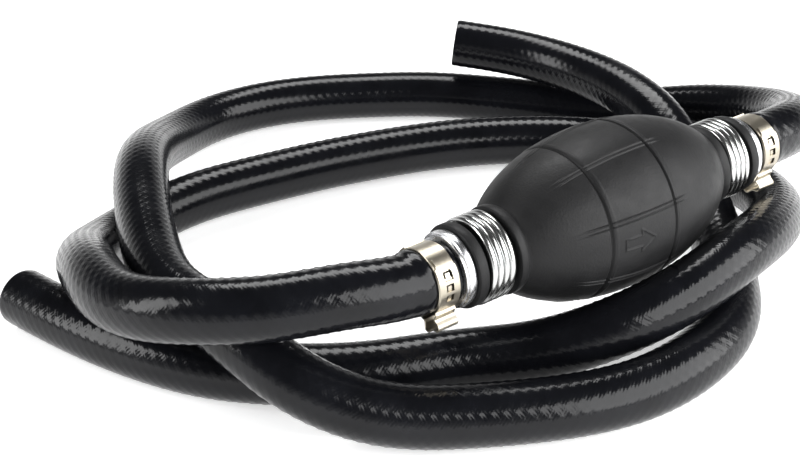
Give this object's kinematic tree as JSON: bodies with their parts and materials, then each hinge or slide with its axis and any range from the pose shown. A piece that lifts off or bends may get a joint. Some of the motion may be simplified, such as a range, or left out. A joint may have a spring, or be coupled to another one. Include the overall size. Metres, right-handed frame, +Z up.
{
  "type": "hand primer siphon",
  "caption": "Hand primer siphon: ribbed squeeze bulb with spring-loaded check valves between barbed, clamped fittings on glossy braided hoses with cut ends.",
  "frame": {"origin": "centre of the squeeze bulb, on its axis, midway between the two necks", "axes": "+X along the bulb's axis in the direction of flow, from the inlet fitting to the outlet fitting; +Z up, square to the surface that the hoses lie on, which is at z = -0.0405"},
  "size_m": [0.2612, 0.2316, 0.0647],
  "materials": {
    "bulb_rubber": "matte moulded rubber, fine grain",
    "hose_pvc": "glossy black over a fine braid",
    "coil_steel": "bright plated wire",
    "clamp_steel": "satin stainless strip, warm tint",
    "fitting_metal": "turned, bright satin",
    "spring_steel": "drawn spring wire",
    "seal_rubber": "smooth seal rubber",
    "valve_body_plastic": "moulded natural plastic",
    "poppet_plastic": "moulded blue plastic"
  },
  "bodies": {
    "pump_body": {"bulb_shell": "bulb_rubber", "inlet_fitting": "fitting_metal", "inlet_valve_o_ring": "seal_rubber", "inlet_valve_seat": "valve_body_plastic", "inlet_valve_spring": "spring_steel", "inlet_valve_cage": "valve_body_plastic", "inlet_neck_coil": "coil_steel", "inlet_hose_clamp": "clamp_steel", "inlet_hose": "hose_pvc", "outlet_fitting": "fitting_metal", "outlet_valve_o_ring": "seal_rubber", "outlet_valve_seat": "valve_body_plastic", "outlet_valve_spring": "spring_steel", "outlet_valve_cage": "valve_body_plastic", "outlet_neck_coil": "coil_steel", "outlet_hose_clamp": "clamp_steel", "outlet_hose": "hose_pvc"},
    "front_wall": {"squeeze_wall_front": "bulb_rubber"},
    "back_wall": {"squeeze_wall_back": "bulb_rubber"},
    "inlet_poppet": {"inlet_valve_poppet": "poppet_plastic"},
    "outlet_poppet": {"outlet_valve_poppet": "poppet_plastic"}
  },
  "joints": [
    {"name": "bulb_squeeze", "type": "slide", "parent": "pump_body", "child": "front_wall", "axis": [0, 1, 0], "range_m": [0, 0.01], "stiffness_N_per_m": 1200},
    {"name": "bulb_squeeze_back", "type": "slide", "parent": "pump_body", "child": "back_wall", "axis": [0, -1, 0], "range_m": [0, 0.01], "stiffness_N_per_m": 1200},
    {"name": "inlet_valve_lift", "type": "slide", "parent": "pump_body", "child": "inlet_poppet", "axis": [1, 0, 0], "range_m": [0, 0.0022], "stiffness_N_per_m": 120, "deforming": ["inlet_valve_spring"]},
    {"name": "outlet_valve_lift", "type": "slide", "parent": "pump_body", "child": "outlet_poppet", "axis": [1, 0, 0], "range_m": [0, 0.0022], "stiffness_N_per_m": 120, "deforming": ["outlet_valve_spring"]}
  ],
  "couplings": [
    {"joint": "bulb_squeeze_back", "follows": "bulb_squeeze", "ratio": 1}
  ]
}
